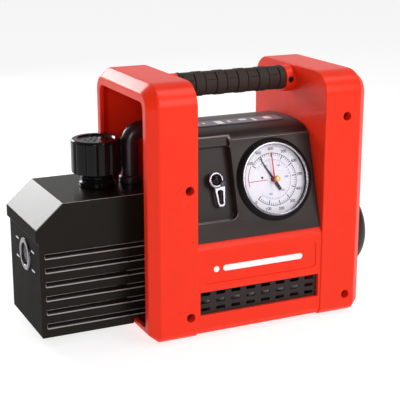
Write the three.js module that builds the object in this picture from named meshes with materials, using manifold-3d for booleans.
// Portable two-stage rotary vane vacuum pump: a red two-half carry frame around an electric motor,
// a finned oil tank with the pump cartridge inside, and a tilted control panel with gauge and valve.
// Millimetres, +Z up. X runs along the motor shaft, the panel faces -Y.
import * as THREE from 'three';
import { mergeVertices } from 'three/addons/utils/BufferGeometryUtils.js';
import Module from 'manifold-3d';

const wasm = await Module();
wasm.setup();

// ---- driving dimensions -------------------------------------------------------------------------
const GAP = 0.3; // running and fitting clearance between pieces
const FRAME_LENGTH = 240; // outer faces of the two legs
const FRAME_DEPTH = 150;
const FRAME_HEIGHT = 256;
const LEG = 50; // width of each leg along X
const WALL = 4; // moulded wall of the housing
const SEAM_Y = FRAME_DEPTH / 2; // joint between the housing halves
const TOP_RADIUS = 24;
const FOOT_RADIUS = 10;
const BEVEL_LENGTH = 10; // bevel round the outer end of each leg, along X
const BEVEL_INSET = 8.5;
const RIM = 17.5; // housing edge to the portal opening
const SILL = 13.5; // bottom of the portal opening
const PANEL_TOP = 97; // top of the lower cross panel
const PANEL_RECESS = 1.5;
const FOOT_DROP = 2; // rubber feet below the housing

const LEG_END = FRAME_LENGTH - LEG; // inner face of the right leg
const AXIS_Y = 95; // motor and pump axis
const AXIS_Z = 62;

const HANDLE_Z = 242;
const HANDLE_RADIUS = 12.6;
const CORE_RADIUS = 7;

const TILT = THREE.MathUtils.degToRad(16.8); // lean of the control panel
const GAUGE = new THREE.Vector3(143, 19.2, 149.3); // centre of the gauge on the panel face
const GAUGE_RADIUS = 40;
const GAUGE_FLARE = 2; // the case is wider where it meets the panel
const POCKET = { x0: 50, x1: 98, low: -35, high: 38.5, depth: 9 };
const VALVE = { x: -63.5, y: 6 }; // lever axis, from the gauge centre

const TANK = { x0: -99, x1: -6, y0: 46, y1: 149, z0: 8, z1: 143, wall: 9 };
const CHAMFER = { length: 27.6, height: 24.3 }; // sloping top edge at the tank's outer end
const END_STEP = 3; // end face set back below the chamfer's lip
const LIP_Z = 107;
const RIBS = 6;
const RIB_PITCH = 14.3;
const RIB_FIRST_Z = 88.6;
const CAP = { x: -18.8, radius: 25.3, z0: 158, z1: 192 };
const SIGHT_Z = 81;
const SIGHT_RADIUS = 17;

const MOTOR_RADIUS = 42;
const MOTOR = { x0: 56, x1: 206 };
const SHAFT_RADIUS = 7;
const FAN_COVER_END = 284;
const FLANGE = { x0: -5.7, plate: -0.3, x1: 30, hub: 50, y1: 131, z0: 15 };
const CARTRIDGE_RADIUS = 31;
const ROTOR_RADIUS = 20.7;
const BORE_RADIUS = 24;

// ---- materials ----------------------------------------------------------------------------------
const material = (color, roughness, metalness = 0) =>
  new THREE.MeshStandardMaterial({ color, roughness, metalness });
const MAT = {
  red: material(0xd8170d, 0.38),
  blackPlastic: material(0x1c1a1a, 0.55),
  glossBlack: material(0x0c0c0c, 0.2),
  rubber: material(0x141414, 0.8),
  castBlack: material(0x242120, 0.45, 0.6),
  aluminium: material(0xb9bbbd, 0.4, 1),
  steel: material(0x8f9194, 0.3, 1),
  chrome: material(0xd9dadc, 0.1, 1),
  brass: material(0xc59a45, 0.3, 1),
  copper: material(0xb0602f, 0.4, 1),
  white: material(0xf2f1ee, 0.5),
  marker: material(0xc41425, 0.5),
  glass: material(0xdfe8ea, 0.05),
  felt: material(0x8a8478, 0.95),
  carbon: material(0x2b2b2d, 0.6),
};

// ---- solids: three.js shapes, joined and cut with manifold --------------------------------------
function solid(geometry) {
  const bare = geometry.index ? geometry.toNonIndexed() : geometry.clone();
  bare.deleteAttribute('normal');
  bare.deleteAttribute('uv');
  const merged = mergeVertices(bare, 1e-4);
  return new wasm.Manifold(new wasm.Mesh({
    numProp: 3,
    vertProperties: new Float32Array(merged.attributes.position.array),
    triVerts: new Uint32Array(merged.index.array),
  }));
}

function shape(body) {
  const mesh = body.getMesh();
  const geometry = new THREE.BufferGeometry();
  geometry.setAttribute('position', new THREE.BufferAttribute(mesh.vertProperties, 3));
  geometry.setIndex(new THREE.BufferAttribute(mesh.triVerts, 1));
  return geometry;
}

const join = (first, ...rest) => rest.reduce((body, other) => body.add(other), first);
const cut = (first, ...rest) => rest.reduce((body, other) => body.subtract(other), first);
const keep = (first, ...rest) => rest.reduce((body, other) => body.intersect(other), first);

// ---- basic shapes -------------------------------------------------------------------------------
function box(x0, x1, y0, y1, z0, z1) {
  const geometry = new THREE.BoxGeometry(x1 - x0, y1 - y0, z1 - z0);
  return geometry.translate((x0 + x1) / 2, (y0 + y1) / 2, (z0 + z1) / 2);
}

function cylinderX(radius, x0, x1, y, z, sides = 18) {
  const geometry = new THREE.CylinderGeometry(radius, radius, x1 - x0, sides);
  return geometry.rotateZ(-Math.PI / 2).translate((x0 + x1) / 2, y, z);
}

function cylinderY(radius, y0, y1, x, z, sides = 10) {
  const geometry = new THREE.CylinderGeometry(radius, radius, y1 - y0, sides);
  return geometry.translate(x, (y0 + y1) / 2, z);
}

function cylinderZ(radius, z0, z1, x, y, sides = 14) {
  const geometry = new THREE.CylinderGeometry(radius, radius, z1 - z0, sides);
  return geometry.rotateX(Math.PI / 2).translate(x, y, (z0 + z1) / 2);
}

// A turned solid: points are [distance along the axis, radius], on the X axis of the shaft.
function turnX(points, sides = 24, y = AXIS_Y, z = AXIS_Z) {
  const profile = points.map(([along, radius]) => new THREE.Vector2(radius, along));
  return new THREE.LatheGeometry(profile, sides).rotateZ(-Math.PI / 2).translate(0, y, z);
}

// The same, standing on the local Z axis.
function turnZ(points, sides = 24) {
  const profile = points.map(([along, radius]) => new THREE.Vector2(radius, along));
  return new THREE.LatheGeometry(profile, sides).rotateX(Math.PI / 2);
}

function ringX(outer, inner, x0, x1, sides = 20, y = AXIS_Y, z = AXIS_Z) {
  return turnX([[x0, inner], [x0, outer], [x1, outer], [x1, inner], [x0, inner]], sides, y, z);
}

// An outline drawn in (Y, Z) and pushed along X.
function extrudeX(outline, x0, x1, options = {}) {
  const bevel = options.bevelThickness ?? 0;
  const depth = x1 - x0 - 2 * bevel;
  const geometry = new THREE.ExtrudeGeometry(
    outline, { bevelEnabled: false, curveSegments: 4, ...options, depth });
  const turn = new THREE.Matrix4().makeBasis(
    new THREE.Vector3(0, 1, 0), new THREE.Vector3(0, 0, 1), new THREE.Vector3(1, 0, 0));
  return geometry.applyMatrix4(turn).translate(x0 + bevel, 0, 0);
}

// An outline drawn in (X, Z) and pushed along Y.
function extrudeY(outline, y0, y1) {
  const geometry = new THREE.ExtrudeGeometry(
    outline, { bevelEnabled: false, curveSegments: 6, depth: y1 - y0 });
  return geometry.rotateX(Math.PI / 2).translate(0, y1, 0);
}

function roundedRect(x0, y0, x1, y1, low, high = low) {
  const outline = new THREE.Shape();
  outline.moveTo(x0 + low, y0);
  outline.lineTo(x1 - low, y0);
  outline.absarc(x1 - low, y0 + low, low, -Math.PI / 2, 0, false);
  outline.lineTo(x1, y1 - high);
  outline.absarc(x1 - high, y1 - high, high, 0, Math.PI / 2, false);
  outline.lineTo(x0 + high, y1);
  outline.absarc(x0 + high, y1 - high, high, Math.PI / 2, Math.PI, false);
  outline.lineTo(x0, y0 + low);
  outline.absarc(x0 + low, y0 + low, low, Math.PI, 1.5 * Math.PI, false);
  return outline;
}

function polygon(points) {
  return new THREE.Shape(points.map(([x, y]) => new THREE.Vector2(x, y)));
}

// ---- the assembly -------------------------------------------------------------------------------
const pump = new THREE.Group();
pump.position.set(-(TANK.x0 + FAN_COVER_END) / 2, -FRAME_DEPTH / 2, FOOT_DROP);

// Local frame of the tilted panel: X to the right, Y up the panel, Z out of it.
const panel = new THREE.Group();
panel.position.copy(GAUGE);
panel.rotation.x = Math.PI / 2 - TILT;
panel.updateMatrix();
pump.add(panel);

function addMesh(name, geometry, look, parent = pump) {
  const clean = geometry.clone();
  const mesh = new THREE.Mesh(clean, look);
  mesh.name = name;
  parent.add(mesh);
  return mesh;
}
const add = (name, body, look, parent) => addMesh(name, shape(body), look, parent);
const onPanel = (geometry) => solid(geometry.applyMatrix4(panel.matrix));

// ---- housing ------------------------------------------------------------------------------------
const HOUSING_SCREWS = [
  { x: 41, z: 153, through: true },
  { x: 42, z: 23, through: false },
  { x: 215, z: 211, through: true },
  { x: 220, z: 20, through: false },
];
const SCREW_HEAD_DEPTH = 12; // counterbore depth
const TRAY = { y0: 20, y1: 138, z0: 4.4, sheet: 2, top: 31, x0: 31, x1: 225 };

function frameBody(inset) {
  const outline = roundedRect(
    inset, inset, FRAME_DEPTH - inset, FRAME_HEIGHT - inset, FOOT_RADIUS, TOP_RADIUS - inset);
  return solid(extrudeX(outline, inset, FRAME_LENGTH - inset, {
    bevelEnabled: true, bevelThickness: BEVEL_LENGTH, bevelSize: BEVEL_INSET,
    bevelOffset: -BEVEL_INSET, bevelSegments: 1,
  }));
}

function housingShell() {
  const outer = frameBody(0);
  const hollow = frameBody(WALL);
  const innerWalls = keep(outer, join(
    solid(box(LEG - WALL, LEG, -1, FRAME_DEPTH + 1, -1, FRAME_HEIGHT + 1)),
    solid(box(LEG_END, LEG_END + WALL, -1, FRAME_DEPTH + 1, -1, FRAME_HEIGHT + 1))));
  const motorPassage = solid(
    cylinderX(MOTOR_RADIUS + 4, LEG - WALL - 1, FRAME_LENGTH + 1, AXIS_Y, AXIS_Z, 24));
  const portal = roundedRect(RIM, SILL, FRAME_DEPTH - RIM, FRAME_HEIGHT - RIM, 4, 7);
  const trayDoor = box(LEG - WALL - 1, LEG_END + WALL + 1, TRAY.y0 - 1, TRAY.y1 + 1, WALL, TRAY.top + 1);
  const middleFront = solid(box(LEG, LEG_END, -1, PANEL_RECESS, -1, FRAME_HEIGHT));
  const middleRear = solid(box(LEG, LEG_END, FRAME_DEPTH - PANEL_RECESS, FRAME_DEPTH + 1, -1, FRAME_HEIGHT));
  const gap = solid(box(LEG, LEG_END, -1, FRAME_DEPTH + 1, PANEL_TOP, FRAME_HEIGHT + 1));
  return join(
    cut(
      join(cut(outer, hollow), innerWalls),
      motorPassage,
      solid(extrudeX(portal, -1, WALL + 1)),
      solid(trayDoor), gap, middleFront, middleRear),
    middlePanelSkins());
}

// The recessed cross panels keep their wall thickness behind the recess.
function middlePanelSkins() {
  const front = PANEL_RECESS;
  const rear = FRAME_DEPTH - PANEL_RECESS;
  return join(
    solid(box(LEG - 1, LEG_END + 1, front, front + WALL, 1, PANEL_TOP)),
    solid(box(LEG - 1, LEG_END + 1, rear - WALL, rear, 1, PANEL_TOP)));
}

const WINDOW = { x0: 53, x1: 187.5, z0: 22.5, z1: 47 };
const BADGE = { x0: 56, x1: 184, z0: 55, z1: 84 };

function screwBosses(side) {
  const front = side === 'front';
  return HOUSING_SCREWS.map(({ x, z, through }) => {
    const near = WALL - 1;
    const far = through ? SEAM_Y - GAP / 2 : TRAY.y0 - GAP;
    const rearFar = through ? SEAM_Y + GAP / 2 : TRAY.y1 + GAP;
    return front
      ? solid(cylinderY(6, near, far, x, z))
      : solid(cylinderY(6, rearFar, FRAME_DEPTH - near, x, z));
  });
}

function screwHoles(side) {
  const front = side === 'front';
  return HOUSING_SCREWS.flatMap(({ x, z, through }) => {
    if (front) {
      return [
        solid(cylinderY(4.6, -1, SCREW_HEAD_DEPTH, x, z)),
        solid(cylinderY(2.3, SCREW_HEAD_DEPTH - 1, SEAM_Y, x, z, 8)),
      ];
    }
    if (through) {
      return [solid(cylinderY(2.3, SEAM_Y, SEAM_Y + 30, x, z, 8))];
    }
    return [
      solid(cylinderY(4.6, FRAME_DEPTH - 8, FRAME_DEPTH + 1, x, z)),
      solid(cylinderY(2.3, TRAY.y1, FRAME_DEPTH, x, z, 8)),
    ];
  });
}

const HANDLE_BOSS = 10; // length of the handle sockets on the legs
function handleSockets() {
  return join(
    solid(cylinderX(13.6, LEG - 1, LEG + HANDLE_BOSS, SEAM_Y, HANDLE_Z - 1.5, 18)),
    solid(cylinderX(13.6, LEG_END - HANDLE_BOSS, LEG_END + 1, SEAM_Y, HANDLE_Z - 1.5, 18)));
}
const HANDLE_SCREW_X = [LEG + 5.5, LEG_END - 5.5];

const handleBore = () => solid(
  cylinderX(CORE_RADIUS + GAP, LEG - WALL - 2, LEG_END + WALL + 2, SEAM_Y, HANDLE_Z, 12));
const handleScrewBores = () => HANDLE_SCREW_X.flatMap((x) => [
  solid(cylinderY(2.3, SEAM_Y - 12, SEAM_Y + 9, x, HANDLE_Z - 1, 8)),
  solid(cylinderY(3.4, SEAM_Y - 20, SEAM_Y - 10, x, HANDLE_Z - 1, 8)),
]);

const FEET = [['left', 24], ['right', 216]]; // one strip under each leg
const FOOT_Y = [24, 126];
const footHoles = () => FEET.flatMap(([, x]) => FOOT_Y.map(
  (y) => solid(cylinderZ(3.4, -1, WALL + 1, x, y, 8))));

const wholeHousing = cut(
  join(housingShell(), handleSockets()),
  handleBore(), ...handleScrewBores(), ...footHoles());
const frontSpace = solid(box(-1, FRAME_LENGTH + 1, -1, SEAM_Y - GAP / 2, -1, FRAME_HEIGHT + 1));
const rearSpace = solid(box(-1, FRAME_LENGTH + 1, SEAM_Y + GAP / 2, FRAME_DEPTH + 1, -1, FRAME_HEIGHT + 1));

const windowCut = solid(box(WINDOW.x0, WINDOW.x1, -1, 12, WINDOW.z0, WINDOW.z1));
const badgeCut = solid(extrudeY(
  roundedRect(BADGE.x0, BADGE.z0, BADGE.x1, BADGE.z1, 5), -1, PANEL_RECESS + 0.8));
const ledge = solid(extrudeX(
  polygon([[-1, PANEL_TOP + 1], [-1, 91], [PANEL_RECESS, 91], [PANEL_RECESS + 4.4, PANEL_TOP + 1]]),
  LEG, LEG_END));

add('front_housing', cut(
  join(keep(wholeHousing, frontSpace), ...screwBosses('front')),
  ...screwHoles('front'), windowCut, badgeCut, ledge), MAT.red);

add('rear_housing', cut(
  join(keep(wholeHousing, rearSpace), ...screwBosses('rear')),
  ...screwHoles('rear')), MAT.red);

HOUSING_SCREWS.forEach(({ x, z, through }, i) => {
  const tip = through ? SEAM_Y + 25 : TRAY.y0 + 8;
  const head = solid(cylinderY(4.1, SCREW_HEAD_DEPTH - 3.4, SCREW_HEAD_DEPTH - GAP, x, z, 10));
  const shank = solid(cylinderY(1.8, SCREW_HEAD_DEPTH - 1, tip, x, z, 8));
  const socket = solid(cylinderY(1.9, 0, SCREW_HEAD_DEPTH - 1.8, x, z, 6));
  add(`housing_screw_${i + 1}`, cut(join(head, shank), socket), MAT.steel);
});

for (const [side, x] of FEET) {
  add(`rubber_foot_${side}`, join(
    solid(box(x - 9, x + 9, FOOT_Y[0] - 9, FOOT_Y[1] + 9, -FOOT_DROP, -GAP)),
    ...FOOT_Y.map((y) => solid(cylinderZ(3, -GAP - 0.5, WALL, x, y, 8)))), MAT.rubber);
}

const SLOT = { x: 60.5, z: 35, columns: 8, pitch: 16.9, rowPitch: 8, length: 10, height: 3.4 };
add('vent_grille', (() => {
  const slots = [];
  for (const row of [-1, 0, 1]) {
    for (let column = 0; column < SLOT.columns; column += 1) {
      const x = SLOT.x + column * SLOT.pitch;
      const z = SLOT.z + row * SLOT.rowPitch;
      slots.push(solid(box(
        x - SLOT.length / 2, x + SLOT.length / 2, 5, 9, z - SLOT.height / 2, z + SLOT.height / 2)));
    }
  }
  return cut(solid(box(LEG + 0.5, LEG_END - 0.5, 5.9, 8, 17, 52)), ...slots);
})(), MAT.blackPlastic);

// ---- handle -------------------------------------------------------------------------------------
add('handle_core', cut(
  solid(cylinderX(CORE_RADIUS, LEG - WALL - 1.5, LEG_END + WALL + 1.5, SEAM_Y, HANDLE_Z, 12)),
  ...HANDLE_SCREW_X.map((x) => solid(cylinderY(2.3, SEAM_Y - 12, SEAM_Y + 9, x, HANDLE_Z - 1, 8)))),
MAT.steel);

add('handle_grip', (() => {
  const start = LEG + HANDLE_BOSS + GAP;
  const end = LEG_END - HANDLE_BOSS - GAP;
  const inner = CORE_RADIUS + GAP;
  const pitch = 23.9; // a smooth land and a ribbed finger pad
  const profile = [[start, inner], [start, HANDLE_RADIUS - 1], [start + 1, HANDLE_RADIUS]];
  for (let x = start + 4; x + pitch < end; x += pitch) {
    profile.push([x, HANDLE_RADIUS], [x + 1, HANDLE_RADIUS - 0.8]);
    profile.push([x + 11, HANDLE_RADIUS - 0.8], [x + 12, HANDLE_RADIUS]);
  }
  profile.push([end - 1, HANDLE_RADIUS], [end, HANDLE_RADIUS - 1], [end, inner], [start, inner]);
  return solid(turnX(profile, 16, SEAM_Y, HANDLE_Z));
})(), MAT.rubber);

// ---- control cover ------------------------------------------------------------------------------
const COVER = { x0: LEG + 0.4, x1: LEG_END - 0.4, wall: 3, bottom: PANEL_TOP + 0.4, rear: 136 };
const panelPoint = (along, out = 0) => [
  GAUGE.y + along * Math.sin(TILT) - out * Math.cos(TILT),
  GAUGE.z + along * Math.cos(TILT) + out * Math.sin(TILT),
];
const panelBottom = (COVER.bottom - GAUGE.z) / Math.cos(TILT);

function coverOutline(inset) {
  const front = panelPoint(panelBottom - 2, -inset);
  const frontLow = [front[0], COVER.bottom - (inset ? 5 : 0)];
  const crown = 200.9 - inset;
  const outline = new THREE.Shape();
  outline.moveTo(...(inset ? frontLow : panelPoint(panelBottom)));
  outline.lineTo(...panelPoint(44, -inset));
  outline.lineTo(...panelPoint(44.6, -1.4 - inset));
  outline.lineTo(38 + inset * 0.5, crown - 5.5);
  outline.lineTo(46, crown - 3.2);
  outline.lineTo(57, crown - 1.2);
  outline.lineTo(70, crown - 0.1);
  outline.lineTo(84, crown);
  outline.lineTo(100, crown - 1);
  outline.lineTo(112, crown - 2.4);
  outline.absarc(112, crown - 2.4 - (24 - inset), 24 - inset, Math.PI / 2, 0, true);
  outline.lineTo(COVER.rear - inset, frontLow[1]);
  return outline;
}

const INLET_WINDOW = { x: 76, z: 150, w: 27.6, h: 20.4 };
const SWITCH_WINDOW = { x: 112, z: 150, w: 13.4, h: 19.4 };
const PORT = { x: 158, z: 160 }; // hose connection at the back

add('control_cover', (() => {
  const outer = solid(extrudeX(coverOutline(0), COVER.x0, COVER.x1));
  const inner = solid(extrudeX(coverOutline(COVER.wall), COVER.x0 - 1, COVER.x1 + 1));
  const px0 = POCKET.x0 - GAUGE.x;
  const px1 = POCKET.x1 - GAUGE.x;
  const tubBlock = onPanel(box(
    px0 - 5, px1 + 3, POCKET.low - 3, POCKET.high + 20, -POCKET.depth - 3, 2));
  const tubOutline = new THREE.Shape();
  const r = 6;
  tubOutline.moveTo(px0 - 6, POCKET.low);
  tubOutline.lineTo(px1 - r, POCKET.low);
  tubOutline.absarc(px1 - r, POCKET.low + r, r, -Math.PI / 2, 0, false);
  tubOutline.lineTo(px1, POCKET.high);
  tubOutline.lineTo(px0 - 6, POCKET.high);
  const tub = onPanel(new THREE.ExtrudeGeometry(
    tubOutline, { depth: POCKET.depth + 10, bevelEnabled: false, curveSegments: 6 })
    .translate(0, 0, -POCKET.depth));
  const brow = onPanel(box(px0 - 6, px1, POCKET.high - 1, 60, -4, 12));
  const gaugeHole = onPanel(new THREE.CylinderGeometry(38.3, 38.3, 30, 24).rotateX(Math.PI / 2));
  const stemHole = onPanel(new THREE.CylinderGeometry(6.3, 6.3, 20, 16)
    .rotateX(Math.PI / 2).translate(VALVE.x, VALVE.y, -POCKET.depth));
  const rearHole = ({ x, z, w, h }) => solid(
    box(x - w / 2, x + w / 2, COVER.rear - 6, COVER.rear + 2, z - h / 2, z + h / 2));
  return cut(
    join(cut(outer, inner), keep(tubBlock, outer)),
    tub, brow, gaugeHole, stemHole, rearHole(INLET_WINDOW), rearHole(SWITCH_WINDOW),
    solid(cylinderY(8.3, COVER.rear - 6, COVER.rear + 2, PORT.x, PORT.z)));
})(), MAT.blackPlastic);

// ---- vacuum gauge, in the panel's frame ---------------------------------------------------------
const NEEDLE_ANGLE = THREE.MathUtils.degToRad(30);
addMesh('gauge_case', turnZ([
  [-40, 0], [-40, 5], [-24, 5], [-24, 37.8], [GAP, 37.8], [GAP, GAUGE_RADIUS + GAUGE_FLARE],
  [1.2, GAUGE_RADIUS + GAUGE_FLARE], [3.4, GAUGE_RADIUS],
  [4.8, GAUGE_RADIUS - 1.4], [4.8, 37.2], [-22, 37.2], [-22, 0]], 24), MAT.glossBlack, panel);
addMesh('gauge_dial', turnZ([
  [-3, 1.6], [-3, 36.7], [-2, 36.7], [-2, 1.6], [-3, 1.6]], 20), MAT.white, panel);
addMesh('gauge_lens', turnZ([
  [2.6, 1.6], [2.6, 36.7], [4.1, 36.7], [4.1, 1.6], [2.6, 1.6]], 20), MAT.glass, panel);

function pointer(tip, tail, half, z0, z1) {
  const outline = polygon([[-half, 0], [-half, -tail], [half, -tail], [half, 0], [0.25, tip], [-0.25, tip]]);
  return solid(new THREE.ExtrudeGeometry(
    outline, { depth: z1 - z0, bevelEnabled: false }).translate(0, 0, z0));
}
const pin = (radius, z0, z1, sides = 12) => solid(cylinderZ(radius, z0, z1, 0, 0, sides));
const needle = add('gauge_needle', join(
  pointer(25, 13, 0.9, -1.2, -0.6), pin(3, -1.4, -0.2), pin(1, -9, -0.5, 8)), MAT.carbon, panel);
needle.rotation.z = NEEDLE_ANGLE;
add('marker_hand', join(
  pointer(27, 4, 0.6, 1, 1.5), pin(1, 0.8, 6, 8),
  solid(turnZ([[5.5, 0], [5.5, 3.2], [8.8, 2.9], [9.4, 2.3], [9.4, 0]], 16))), MAT.marker, panel);
function bourdonTube() {
  const outline = new THREE.Shape();
  outline.absarc(0, 0, 30, Math.PI * 1.42, Math.PI * 2.9, false);
  outline.absarc(0, 0, 27.8, Math.PI * 2.9, Math.PI * 1.42, true);
  return solid(new THREE.ExtrudeGeometry(
    outline, { depth: 9, bevelEnabled: false, curveSegments: 9 }).translate(0, 0, -20));
}
add('gauge_movement', (() => {
  const plate = solid(box(-11, 11, -8, 8, -20.5, -18.5));
  const quadrant = solid(cylinderZ(8, -17, -15.5, -6, -4, 14));
  const posts = [[-8, 5], [8, 5], [8, -5]].map(([x, y]) => solid(cylinderZ(1.4, -19, -10, x, y, 6)));
  const arbor = solid(cylinderZ(1.2, -19, -15, -6, -4, 6));
  const top = cut(solid(box(-11, 11, -8, 8, -11.5, -10)), solid(cylinderZ(1.6, -13, -8, 0, 0, 8)));
  const socket = solid(box(-4, 4, -30, -6, -20.5, -17));
  return join(plate, arbor, quadrant, ...posts, top, socket, bourdonTube());
})(), MAT.brass, panel);

// ---- isolation valve, in the panel's frame ------------------------------------------------------
const FLOOR = -POCKET.depth;
function atValve(mesh) {
  mesh.position.set(VALVE.x, VALVE.y, 0);
  return mesh;
}
atValve(add('valve_body', join(
  solid(box(-15, 15, -12, 12, FLOOR - 28, FLOOR - 3.4)),
  solid(cylinderZ(9, FLOOR - 4, FLOOR - 3.3, 0, 0)),
  solid(cylinderZ(5.8, FLOOR - 4, FLOOR + 2.5, 0, 0)),
  solid(cylinderZ(7, FLOOR - 60, FLOOR - 27, 0, 0, 6))), MAT.brass, panel));
atValve(add('valve_lever', (() => {
  const head = new THREE.Shape();
  head.absarc(0, 0, 8, 0, Math.PI * 2, false);
  const arm = polygon([
    [-3.2, 2], [-3.2, -10], [-0.8, -25.4], [1.2, -27.2], [5.2, -27.2], [7.2, -25.4], [9.6, -10], [9.6, -2]]);
  const slot = polygon([[0.3, -10.5], [1.5, -23.4], [4.9, -23.4], [6.1, -10.5]]);
  const plate = (outline, z0, z1) => solid(new THREE.ExtrudeGeometry(
    outline, { depth: z1 - z0, bevelEnabled: false, curveSegments: 8 }).translate(0, 0, z0));
  return cut(
    join(plate(head, FLOOR + 2.9, FLOOR + 9), plate(arm, FLOOR + 4, FLOOR + 7.5)),
    plate(slot, FLOOR, FLOOR + 12),
    solid(cylinderZ(5.4, FLOOR + 5, FLOOR + 12, 0, 0, 16)));
})(), MAT.chrome, panel));

// ---- suction line -------------------------------------------------------------------------------
class PipeRun extends THREE.CurvePath {}
function pipe(points, radius, bend, sides) {
  const run = new PipeRun();
  const corners = points.map((p) => new THREE.Vector3(...p));
  let from = corners[0];
  for (let i = 1; i < corners.length - 1; i += 1) {
    const back = corners[i - 1].clone().sub(corners[i]).setLength(bend).add(corners[i]);
    const ahead = corners[i + 1].clone().sub(corners[i]).setLength(bend).add(corners[i]);
    run.add(new THREE.LineCurve3(from, back));
    run.add(new THREE.QuadraticBezierCurve3(back, corners[i], ahead));
    from = ahead;
  }
  run.add(new THREE.LineCurve3(from, corners[corners.length - 1]));
  const section = new THREE.Shape();
  section.absarc(0, 0, radius, 0, Math.PI * 2, false);
  return new THREE.ExtrudeGeometry(section, { steps: 14, extrudePath: run, curveSegments: sides });
}
const ELBOW = { x: 17, z: 196, radius: 9, bend: 15 };
add('suction_elbow', join(
  solid(pipe([[ELBOW.x, AXIS_Y, TANK.z1 + 6], [ELBOW.x, AXIS_Y, ELBOW.z], [LEG - WALL - 1, AXIS_Y, ELBOW.z]],
    ELBOW.radius, ELBOW.bend, 6)),
  solid(cylinderZ(11.5, TANK.z1 + GAP, TANK.z1 + 7, ELBOW.x, AXIS_Y, 16)),
  solid(cylinderZ(6, TANK.z1 - 10, TANK.z1 + 1, ELBOW.x, AXIS_Y, 10))), MAT.glossBlack);

add('inlet_port', join(
  solid(cylinderY(11, COVER.rear - 9, COVER.rear - 3.4, PORT.x, PORT.z, 6)),
  solid(cylinderY(8, COVER.rear - 4, COVER.rear + 3, PORT.x, PORT.z)),
  solid(cylinderY(6, COVER.rear + 2, COVER.rear + 9, PORT.x, PORT.z))), MAT.brass);
add('inlet_cap', cut(
  solid(cylinderY(9, COVER.rear + 3.4, COVER.rear + 13.6, PORT.x, PORT.z, 12)),
  solid(cylinderY(6.7, COVER.rear + 2, COVER.rear + 9.3, PORT.x, PORT.z))), MAT.blackPlastic);

// ---- electrical fittings ------------------------------------------------------------------------
function rearFitting({ x, z, w, h }, lip, depth) {
  return join(
    solid(box(
      x - w / 2 - lip, x + w / 2 + lip, COVER.rear + GAP, COVER.rear + 2.3,
      z - h / 2 - lip, z + h / 2 + lip)),
    solid(box(
      x - w / 2 + GAP, x + w / 2 - GAP, COVER.rear - depth, COVER.rear + 1,
      z - h / 2 + GAP, z + h / 2 - GAP)));
}
add('power_inlet', (() => {
  const { x, z } = INLET_WINDOW;
  const pins = [[-7, 0], [0, 4], [7, 0]].map(([dx, dz]) => solid(
    box(x + dx - 1, x + dx + 1, COVER.rear - 15, COVER.rear - 1, z + dz - 2, z + dz + 2)));
  const well = solid(box(x - 12, x + 12, COVER.rear - 14, COVER.rear + 4, z - 8.2, z + 8.2));
  return join(cut(rearFitting(INLET_WINDOW, 3, 22), well), ...pins);
})(), MAT.blackPlastic);
// The rocker turns about an X axis through the middle of the frame.
const ROCKER = { y: COVER.rear - 5, half: 7.6, tilt: THREE.MathUtils.degToRad(9) };
const rocker = add('rocker_switch', solid(extrudeX(polygon([
  [-4.5, -4], [6, -ROCKER.half], [6.6, 0], [6, ROCKER.half], [-4.5, 4]]), -4.9, 4.9)), MAT.glossBlack);
rocker.position.set(SWITCH_WINDOW.x, ROCKER.y, SWITCH_WINDOW.z);
rocker.rotation.x = ROCKER.tilt;
addMesh('run_capacitor', cylinderX(14, 105, 165, 86, 125, 16), MAT.aluminium);

// ---- oil tank -----------------------------------------------------------------------------------
function tankOutline(inset, step) {
  const { x0, x1, z0, z1 } = TANK;
  return polygon([
    [x0 + inset + step, z0 + inset], [x1 + (inset ? 1 : 0), z0 + inset],
    [x1 + (inset ? 1 : 0), z1 - inset], [x0 + CHAMFER.length + inset * 0.42, z1 - inset],
    [x0 + inset, z1 - CHAMFER.height - inset * 0.42], [x0 + inset, LIP_Z],
    [x0 + inset + step, LIP_Z - step]]);
}
const MOUNT_SCREWS = [[54.5, 16.5], [140.5, 16.5], [54.5, 134.5], [140.5, 134.5]];
// Cooling grooves run along the tank and on over the flange.
function coolingGrooves() {
  const grooves = [];
  for (let i = 0; i < RIBS; i += 1) {
    const z = RIB_FIRST_Z - i * RIB_PITCH;
    const front = polygon([
      [TANK.y0 - 1, z - 0.6], [TANK.y0 + 4.6, z + 4.4], [TANK.y0 + 4, z + 6.2], [TANK.y0 - 1, z + 6.6]]);
    const rear = polygon([
      [TANK.y1 + 1, z - 0.6], [TANK.y1 + 1, z + 6.6], [TANK.y1 - 4, z + 6.2], [TANK.y1 - 4.6, z + 4.4]]);
    grooves.push(solid(extrudeX(front, TANK.x0 + 8, FLANGE.x1 - 2)), solid(extrudeX(rear, TANK.x0 + 8, 10)));
  }
  return grooves;
}
add('oil_tank', (() => {
  const outer = solid(extrudeY(tankOutline(0, END_STEP), TANK.y0, TANK.y1));
  const hollow = solid(extrudeY(tankOutline(TANK.wall, 0), TANK.y0 + TANK.wall, TANK.y1 - TANK.wall));
  const corners = join(...MOUNT_SCREWS.map(([y, z]) => solid(cylinderX(8, TANK.x1 - 30, TANK.x1, y, z, 12))));
  const taps = MOUNT_SCREWS.map(([y, z]) => solid(cylinderX(2.8, TANK.x1 - 22, TANK.x1 + 1, y, z, 8)));
  return cut(
    join(cut(outer, hollow), keep(corners, outer)),
    ...taps, ...coolingGrooves(),
    solid(cylinderX(11.3, TANK.x0 - 2, TANK.x0 + 20, AXIS_Y, SIGHT_Z)),
    solid(cylinderX(SIGHT_RADIUS + GAP, TANK.x0 - 2, TANK.x0 + END_STEP + 2, AXIS_Y, SIGHT_Z)),
    solid(cylinderZ(11.3, TANK.z1 - 20, TANK.z1 + 2, CAP.x, AXIS_Y, 18)),
    solid(cylinderZ(5.3, TANK.z0 - 1, TANK.z0 + 20, TANK.x0 + 22, AXIS_Y, 12)));
})(), MAT.castBlack);

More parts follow.
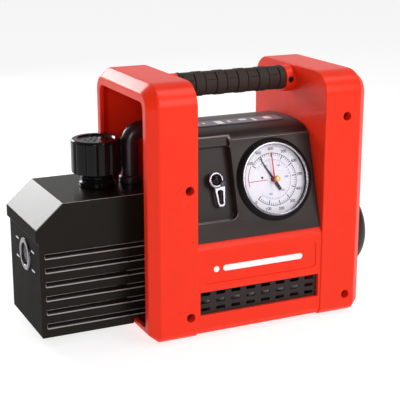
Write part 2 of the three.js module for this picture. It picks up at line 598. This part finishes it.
const FACE_X = TANK.x0 + END_STEP; // end face below the lip
addMesh('sight_glass_lens', cylinderX(11, FACE_X + 0.6, FACE_X + 4.4, AXIS_Y, SIGHT_Z), MAT.glass);
addMesh('sight_glass_bezel', ringX(
  SIGHT_RADIUS, 11.3, FACE_X - 1.6, FACE_X + 1.7, 20, AXIS_Y, SIGHT_Z), MAT.chrome);
add('drain_plug', join(
  solid(cylinderZ(8, TANK.z0 - 4.5, TANK.z0 - GAP, TANK.x0 + 22, AXIS_Y, 6)),
  solid(cylinderZ(5, TANK.z0 - 1, TANK.z0 + 8, TANK.x0 + 22, AXIS_Y, 10))), MAT.brass);

add('exhaust_neck', (() => {
  const profile = [
    [TANK.z1 - 8, 9], [TANK.z1 - 8, 10.5], [TANK.z1 + GAP, 10.5], [TANK.z1 + GAP, 18], [TANK.z1 + 6, 18],
    [TANK.z1 + 6, 16.5], [CAP.z0 + 12, 16.5], [CAP.z0 + 12, 9], [TANK.z1 - 8, 9]];
  return solid(turnZ(profile, 20).translate(CAP.x, AXIS_Y, 0));
})(), MAT.glossBlack);
add('exhaust_filter', solid(cylinderZ(8.6, TANK.z1 - 6, CAP.z0 + 10, CAP.x, AXIS_Y)), MAT.felt);
add('exhaust_cap', (() => {
  const lobes = 12;
  const outline = new THREE.Shape();
  for (let i = 0; i <= lobes; i += 1) {
    const turn = (i / lobes) * Math.PI * 2;
    const half = (Math.PI / lobes) * 0.8;
    if (i < lobes) {
      outline.absarc(0, 0, CAP.radius, turn - half, turn + half, false);
      const mid = turn + Math.PI / lobes;
      outline.lineTo((CAP.radius - 1.6) * Math.cos(mid), (CAP.radius - 1.6) * Math.sin(mid));
    }
  }
  const body = solid(new THREE.ExtrudeGeometry(
    outline, { depth: CAP.z1 - CAP.z0 - 1, bevelEnabled: false, curveSegments: 2 }).translate(0, 0, CAP.z0));
  const crown = solid(turnZ([[CAP.z0 + 20, 0], [CAP.z0 + 20, CAP.radius], [CAP.z1 - 2, CAP.radius],
    [CAP.z1, CAP.radius - 2], [CAP.z1, 19], [CAP.z1 - 2, 18.2], [CAP.z1 - 2, 0]], 24));
  const hollow = solid(cylinderZ(16.6 + GAP, CAP.z0 - 1, CAP.z0 + 26, 0, 0, 20));
  const vents = [];
  for (const [count, radius] of [[1, 0], [6, 10]]) {
    for (let i = 0; i < count; i += 1) {
      const turn = (i / count) * Math.PI * 2;
      const [x, y] = [radius * Math.cos(turn), radius * Math.sin(turn)];
      vents.push(solid(cylinderZ(1.7, CAP.z0 + 20, CAP.z1 + 1, x, y, 6)));
    }
  }
  return cut(join(body, crown), hollow, ...vents).translate([CAP.x, AXIS_Y, 0]);
})(), MAT.glossBlack);

// ---- pump cartridge -----------------------------------------------------------------------------
const shaftBore = (radius, x0, x1) => solid(cylinderX(radius, x0, x1, AXIS_Y, AXIS_Z, 20));

add('pump_flange', cut(
  join(
    solid(box(FLANGE.x0, FLANGE.plate, TANK.y0, TANK.y1, TANK.z0, TANK.z1)),
    solid(box(FLANGE.plate - 1, FLANGE.x1, TANK.y0, FLANGE.y1, FLANGE.z0, TANK.z1)),
    shaftBore(36, FLANGE.x1 - 1, FLANGE.hub)),
  shaftBore(SHAFT_RADIUS + GAP, FLANGE.x0 - 1, FLANGE.hub + 1),
  shaftBore(15.3, FLANGE.x1 - 8, FLANGE.hub + 1),
  ...MOUNT_SCREWS.map(([y, z]) => solid(cylinderX(2.8, FLANGE.x0 - 1, FLANGE.x1 + 1, y, z, 8))),
  solid(cylinderZ(6.4 + GAP, TANK.z1 - 12, TANK.z1 + 1, ELBOW.x, AXIS_Y, 12)),
  solid(cylinderZ(3, AXIS_Z + 26, TANK.z1, ELBOW.x, AXIS_Y, 8)),
  ...coolingGrooves()), MAT.aluminium);

// Stages from the flange leftwards: each entry is [right end, left end] of a piece.
const STAGE_ONE = [FLANGE.x0 - 0.9, -34];
const MID = [-34.3, -39.5];
const STAGE_TWO = [-39.8, -56];
const END = [-56.3, -62];
const ECCENTRIC = BORE_RADIUS - ROTOR_RADIUS - GAP;

function stator([right, left]) {
  const bore = solid(cylinderX(BORE_RADIUS, left - 1, right + 1, AXIS_Y, AXIS_Z - ECCENTRIC, 28));
  const flat = solid(box(left - 1, right + 1, 0, 200, AXIS_Z + 29, AXIS_Z + 40));
  const port = solid(box(left + 4, right - 4, AXIS_Y + 8, AXIS_Y + 11, AXIS_Z, AXIS_Z + 35));
  return cut(shaftBore(CARTRIDGE_RADIUS, left, right), bore, flat, port);
}
add('stage_one_stator', stator(STAGE_ONE), MAT.steel);
add('stage_two_stator', stator(STAGE_TWO), MAT.steel);
const cartridgePlate = ([right, left]) => cut(
  shaftBore(CARTRIDGE_RADIUS, left, right), shaftBore(SHAFT_RADIUS + GAP, left - 1, right + 1));
add('mid_plate', cartridgePlate(MID), MAT.aluminium);
add('end_plate', cartridgePlate(END), MAT.aluminium);

const VANE = 5; // thickness
const middle = ([a, b]) => (a + b) / 2;
const rotorOne = [STAGE_ONE[1] + GAP, STAGE_ONE[0] - GAP];
const rotorTwo = [STAGE_TWO[1] + GAP, STAGE_TWO[0] - GAP];
const slotFor = ([x0, x1]) => cut(
  solid(box(
    x0 - 0.01, x1 + 0.01, AXIS_Y - VANE / 2 - GAP, AXIS_Y + VANE / 2 + GAP, AXIS_Z - 40, AXIS_Z + 40)),
  solid(box(x0 + 2.5, x1 - 2.5, AXIS_Y - 4, AXIS_Y + 4, AXIS_Z - 3, AXIS_Z + 3)));
add('pump_rotor', cut(
  join(
    shaftBore(SHAFT_RADIUS, END[1] + 1, FLANGE.hub - 11),
    shaftBore(ROTOR_RADIUS, ...rotorOne),
    shaftBore(ROTOR_RADIUS, ...rotorTwo)),
  slotFor(rotorOne), slotFor(rotorTwo),
  ...[rotorOne, rotorTwo].map((stage) => solid(
    cylinderZ(2.5, AXIS_Z - 5, AXIS_Z + 5, middle(stage), AXIS_Y, 8)))),
MAT.steel);

// Each stage has two vanes in one slot, held apart by a spring through the rotor's core.
function addVanes(stage, [x0, x1]) {
  const inner = 9;
  const outer = ROTOR_RADIUS - 0.4;
  for (const [side, low] of [['a', inner], ['b', -outer]]) {
    add(`${stage}_vane_${side}`, solid(box(
      x0 + GAP, x1 - GAP, AXIS_Y - VANE / 2, AXIS_Y + VANE / 2,
      AXIS_Z + low, AXIS_Z + low + outer - inner)), MAT.carbon);
  }
}
addVanes('stage_one', rotorOne);
addVanes('stage_two', rotorTwo);

class Helix extends THREE.Curve {
  constructor(x, y, z0, z1, radius, turns) {
    super();
    Object.assign(this, { x, y, z0, z1, radius, turns });
  }

  getPoint(t, target = new THREE.Vector3()) {
    const angle = t * this.turns * Math.PI * 2;
    return target.set(
      this.x + this.radius * Math.cos(angle),
      this.y + this.radius * Math.sin(angle),
      this.z0 + (this.z1 - this.z0) * t);
  }
}
function addSpring(name, x) {
  const wire = new THREE.Shape();
  wire.absarc(0, 0, 0.35, 0, Math.PI * 2, false);
  const path = new Helix(x, AXIS_Y, AXIS_Z - 8.2, AXIS_Z + 8.2, 1.5, 4);
  addMesh(name, shape(solid(new THREE.ExtrudeGeometry(
    wire, { steps: 28, extrudePath: path, curveSegments: 2 }))), MAT.steel);
}
addSpring('stage_one_spring', middle(rotorOne));
addSpring('stage_two_spring', middle(rotorTwo));

add('exhaust_reed', solid(box(
  STAGE_TWO[1] + 3, STAGE_TWO[0] - 3, AXIS_Y - 8, AXIS_Y + 13, AXIS_Z + 29.3, AXIS_Z + 29.8)), MAT.steel);
addMesh('shaft_seal', ringX(15, SHAFT_RADIUS + GAP, FLANGE.x1 - 7.7, FLANGE.x1 - 0.5, 18), MAT.rubber);
addMesh('drive_coupling', ringX(13, SHAFT_RADIUS + GAP, FLANGE.x1 + 1, FLANGE.x1 + 19, 18), MAT.steel);

// ---- motor --------------------------------------------------------------------------------------
const bell = (x0, x1, side) => cut(
  shaftBore(MOTOR_RADIUS, x0, x1),
  shaftBore(17.8, side === 'front' ? x1 - 11.5 : x0 - 1, side === 'front' ? x1 + 1 : x0 + 11.5),
  shaftBore(SHAFT_RADIUS + 1, x0 - 1, x1 + 1));
const FRONT_BELL = [FLANGE.hub + GAP, MOTOR.x0 + 9];
const REAR_BELL = [MOTOR.x1, MOTOR.x1 + 14];
add('front_end_bell', bell(...FRONT_BELL, 'front'), MAT.aluminium);
add('rear_end_bell', bell(...REAR_BELL, 'rear'), MAT.aluminium);
add('motor_shell', cut(
  shaftBore(MOTOR_RADIUS, FRONT_BELL[1] + GAP, REAR_BELL[0] - GAP),
  shaftBore(MOTOR_RADIUS - 2.6, FRONT_BELL[1], REAR_BELL[0])), MAT.castBlack);
const bearing = (x0) => ringX(17.5, SHAFT_RADIUS + GAP, x0, x0 + 11, 18);
addMesh('front_bearing', bearing(FRONT_BELL[1] - 11), MAT.steel);
addMesh('rear_bearing', bearing(REAR_BELL[0]), MAT.steel);
const CORE = { x0: 102, x1: 166 };
const windingBars = (radius, x0, x1) => Array.from({ length: 12 }, (_, i) => {
  const turn = (i / 12) * Math.PI * 2;
  return solid(cylinderX(radius, x0, x1, AXIS_Y + 32 * Math.cos(turn), AXIS_Z + 32 * Math.sin(turn), 6));
});
add('stator_core', cut(
  solid(ringX(MOTOR_RADIUS - 4, 25, CORE.x0, CORE.x1)),
  ...windingBars(3.4, CORE.x0 - 1, CORE.x1 + 1)), MAT.steel);
add('stator_windings', join(
  solid(ringX(37, 27, CORE.x0 - 18, CORE.x0 - GAP)),
  solid(ringX(37, 27, CORE.x1 + GAP, CORE.x1 + 18)),
  ...windingBars(3, CORE.x0 - 2, CORE.x1 + 2)), MAT.copper);
addMesh('rotor_core', ringX(24.2, SHAFT_RADIUS + GAP, CORE.x0, CORE.x1), MAT.steel);
addMesh('motor_shaft', cylinderX(SHAFT_RADIUS, FLANGE.hub - 10.5, 242, AXIS_Y, AXIS_Z, 18), MAT.steel);

const FAN = { x0: 224, x1: 238, radius: 37, blades: 8 };
add('cooling_fan', (() => {
  const hub = solid(ringX(14, SHAFT_RADIUS + GAP, FAN.x0, FAN.x1, 18));
  const disc = solid(ringX(FAN.radius, 12, FAN.x0, FAN.x0 + 2, 20));
  const blades = [];
  for (let i = 0; i < FAN.blades; i += 1) {
    const blade = new THREE.BoxGeometry(FAN.x1 - FAN.x0, 2, FAN.radius - 12)
      .translate((FAN.x0 + FAN.x1) / 2, 0, (FAN.radius + 12) / 2)
      .rotateX((i / FAN.blades) * Math.PI * 2)
      .translate(0, AXIS_Y, AXIS_Z);
    blades.push(solid(blade));
  }
  return join(hub, disc, ...blades);
})(), MAT.blackPlastic);

add('fan_cover', (() => {
  const outer = MOTOR_RADIUS + 2.8;
  const inner = MOTOR_RADIUS + 0.9;
  const end = FAN_COVER_END;
  const round = 16;
  const profile = [[FAN.x0 - 9, inner], [FAN.x0 - 9, outer], [end - round, outer]];
  const steps = 4;
  for (let i = 1; i <= steps; i += 1) {
    const turn = (i / steps) * (Math.PI / 2);
    profile.push([end - round + round * Math.sin(turn), outer - round + round * Math.cos(turn)]);
  }
  profile.push([end, 0], [end - 2.4, 0]);
  for (let i = steps; i >= 0; i -= 1) {
    const turn = (i / steps) * (Math.PI / 2);
    const bend = round - 2.4;
    profile.push([end - round + bend * Math.sin(turn), inner - bend + bend * Math.cos(turn)]);
  }
  profile.push([FAN.x0 - 9, inner]);
  const shell = solid(turnX(profile, 24));
  const slots = [];
  for (let row = 0; row < 5; row += 1) {
    const y = AXIS_Y - 24 + row * 12;
    slots.push(solid(box(end - 8, end + 1, y - 2.2, y + 2.2, AXIS_Z - 22, AXIS_Z - 3)));
    slots.push(solid(box(end - 8, end + 1, y - 2.2, y + 2.2, AXIS_Z + 3, AXIS_Z + 22)));
  }
  return cut(shell, ...slots);
})(), MAT.blackPlastic);

// ---- base ---------------------------------------------------------------------------------------
const SADDLES = [[78, 92], [178, 192]];
add('base_tray', (() => {
  const { y0, y1, z0, sheet, top, x0, x1 } = TRAY;
  const folded = polygon([
    [y0, z0], [y1, z0], [y1, top], [y1 - sheet, top], [y1 - sheet, z0 + sheet],
    [y0 + sheet, z0 + sheet], [y0 + sheet, top], [y0, top]]);
  const holes = HOUSING_SCREWS.filter(({ through }) => !through)
    .map(({ x, z }) => solid(cylinderY(2.2, y0 - 1, y1 + 1, x, z, 12)));
  const saddles = SADDLES.map(([from, to]) => solid(box(from, to, 70, 125, z0 + 1, 28)));
  return cut(
    join(solid(extrudeX(folded, x0, x1)), ...saddles), shaftBore(MOTOR_RADIUS + GAP, 70, 200), ...holes);
})(), MAT.steel);

export default pump;
